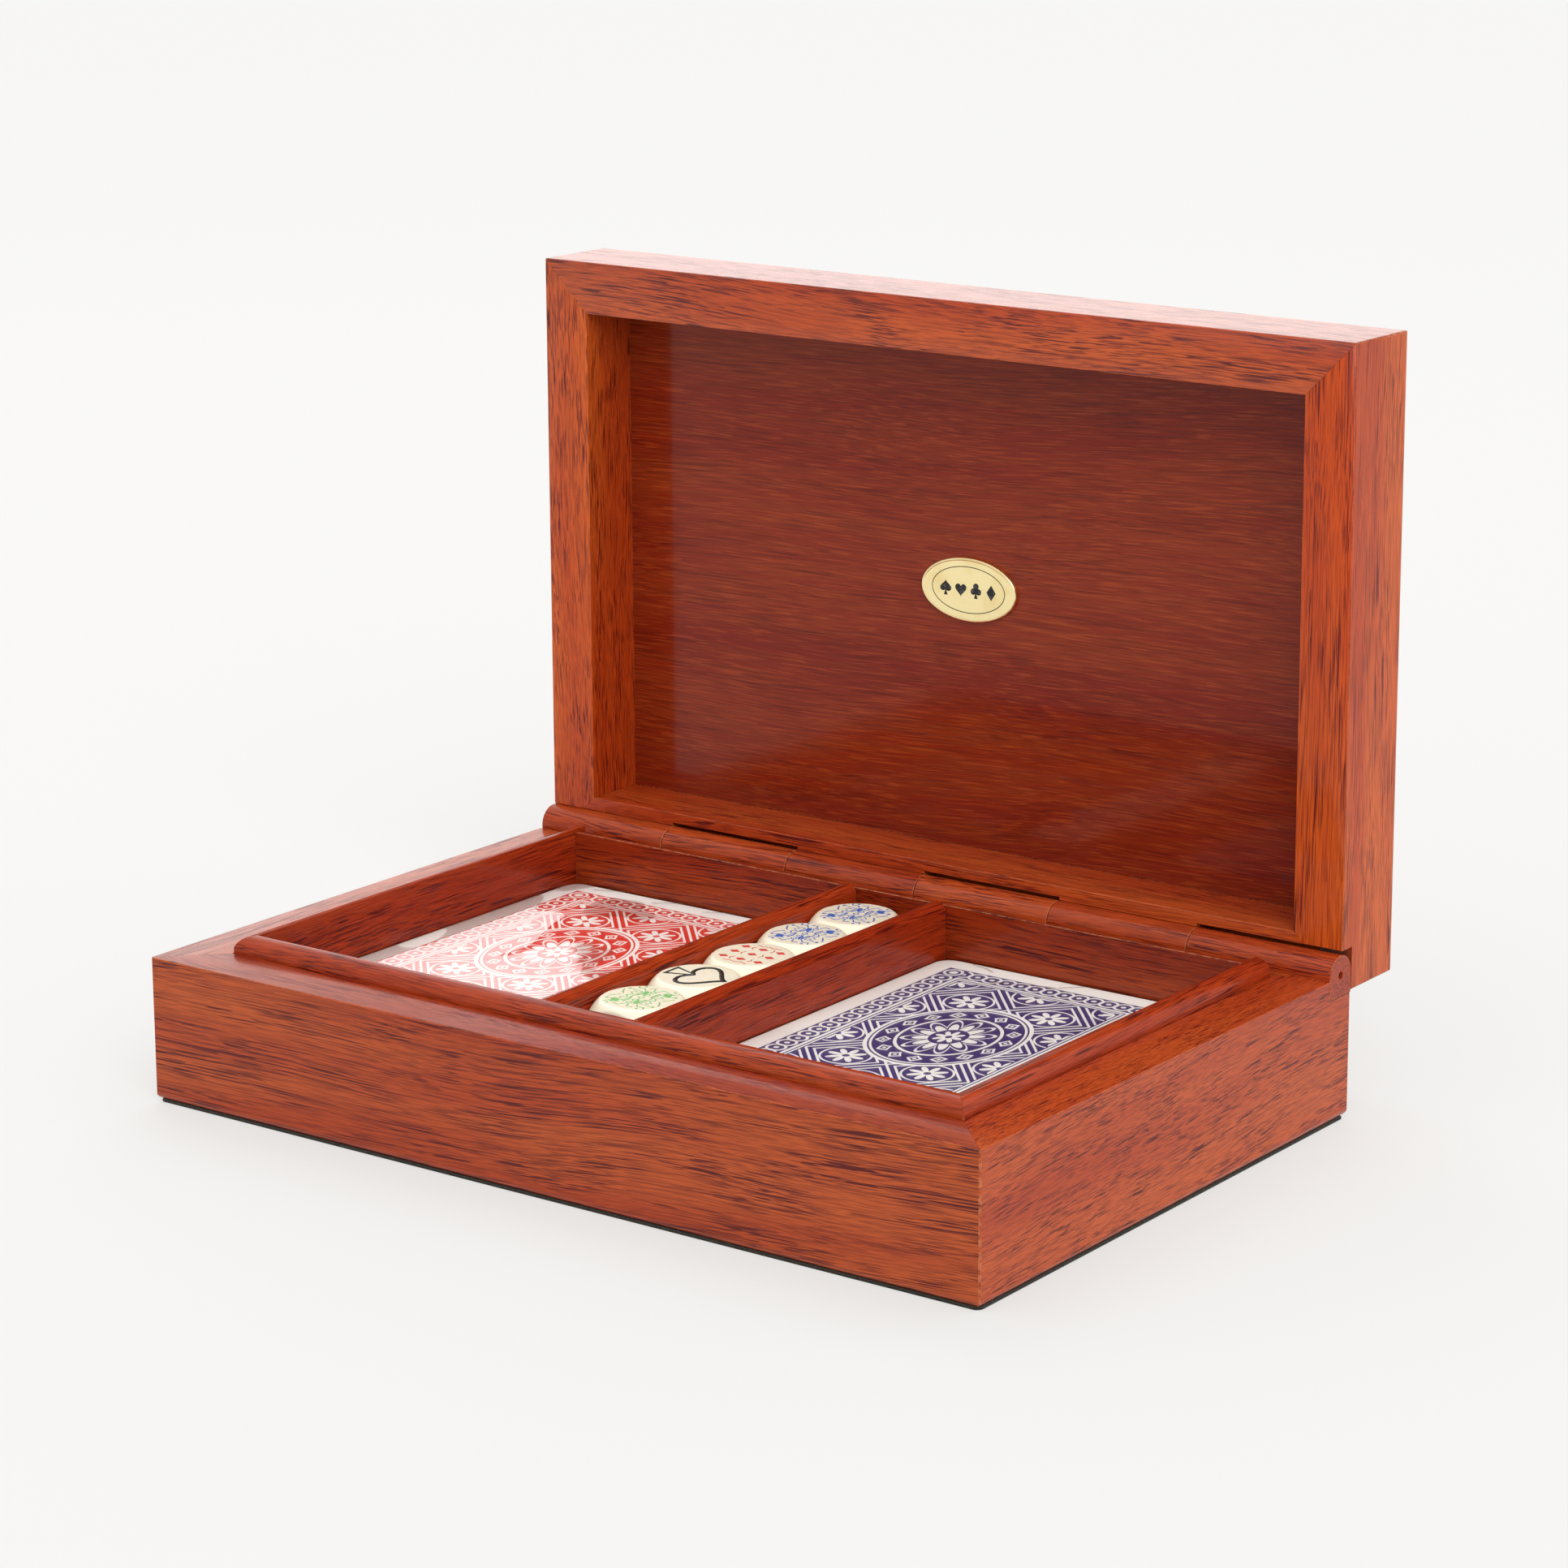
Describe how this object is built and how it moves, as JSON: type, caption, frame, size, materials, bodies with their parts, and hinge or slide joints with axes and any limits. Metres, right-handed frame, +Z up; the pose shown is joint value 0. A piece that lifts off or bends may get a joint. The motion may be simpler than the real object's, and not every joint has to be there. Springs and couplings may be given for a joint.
{
  "type": "playing card box",
  "caption": "Low mahogany box with a lid on a full-length wooden knuckle hinge and a raised lip round wells for packs of playing cards beside a dice channel.",
  "frame": {"origin": "middle of the base's footprint, on the underside of the felt", "axes": "+X to the right as seen from the front, +Y towards the hinge, +Z up"},
  "size_m": [0.206, 0.151, 0.1605],
  "materials": {
    "rail_wood": "satin lacquered mahogany",
    "lip_wood": "satin lacquered mahogany",
    "panel_wood": "gloss lacquered mahogany",
    "floor_wood": "satin lacquered mahogany",
    "knuckle_wood": "satin lacquered mahogany",
    "felt": "matte felt",
    "steel": "plain",
    "brass": "polished",
    "red_cards": "coated card",
    "blue_cards": "coated card",
    "clear_film": "clear film",
    "ivory_plastic": "polished"
  },
  "bodies": {
    "base": {"base_rail_front": "rail_wood", "base_rail_back": "rail_wood", "base_rail_left": "rail_wood", "base_rail_right": "rail_wood", "floor_panel": "floor_wood", "felt_pad": "felt", "lip_front": "lip_wood", "lip_back": "lip_wood", "lip_left": "lip_wood", "lip_right": "lip_wood", "divider_left": "lip_wood", "divider_right": "lip_wood", "dice_bed": "floor_wood", "base_knuckle_1": "knuckle_wood", "base_knuckle_2": "knuckle_wood", "base_knuckle_3": "knuckle_wood", "hinge_pin": "steel"},
    "lid": {"lid_rail_front": "rail_wood", "lid_rail_back": "rail_wood", "lid_rail_left": "rail_wood", "lid_rail_right": "rail_wood", "lid_panel": "panel_wood", "lid_plate": "brass", "lid_knuckle_1": "knuckle_wood", "lid_knuckle_2": "knuckle_wood", "lid_knuckle_3": "knuckle_wood"},
    "red_deck": {"red_deck_cards": "red_cards", "red_deck_wrap": "clear_film"},
    "blue_deck": {"blue_deck_cards": "blue_cards", "blue_deck_wrap": "clear_film"},
    "first_die": {"die_1": "ivory_plastic"},
    "second_die": {"die_2": "ivory_plastic"},
    "third_die": {"die_3": "ivory_plastic"},
    "fourth_die": {"die_4": "ivory_plastic"},
    "fifth_die": {"die_5": "ivory_plastic"}
  },
  "joints": [
    {"name": "lid_hinge", "type": "hinge", "parent": "base", "child": "lid", "pos_m": [0, 0.06245, 0.0314], "axis": [1, 0, 0], "range_deg": [0, 90]},
    {"name": "red_deck_lift", "type": "slide", "parent": "base", "child": "red_deck", "axis": [0, 0, 1], "range_m": [0, 0.022]},
    {"name": "blue_deck_lift", "type": "slide", "parent": "base", "child": "blue_deck", "axis": [0, 0, 1], "range_m": [0, 0.022]},
    {"name": "die_1_lift", "type": "slide", "parent": "base", "child": "first_die", "axis": [0, 0, 1], "range_m": [0, 0.012]},
    {"name": "die_2_lift", "type": "slide", "parent": "base", "child": "second_die", "axis": [0, 0, 1], "range_m": [0, 0.012]},
    {"name": "die_3_lift", "type": "slide", "parent": "base", "child": "third_die", "axis": [0, 0, 1], "range_m": [0, 0.012]},
    {"name": "die_4_lift", "type": "slide", "parent": "base", "child": "fourth_die", "axis": [0, 0, 1], "range_m": [0, 0.012]},
    {"name": "die_5_lift", "type": "slide", "parent": "base", "child": "fifth_die", "axis": [0, 0, 1], "range_m": [0, 0.012]}
  ]
}
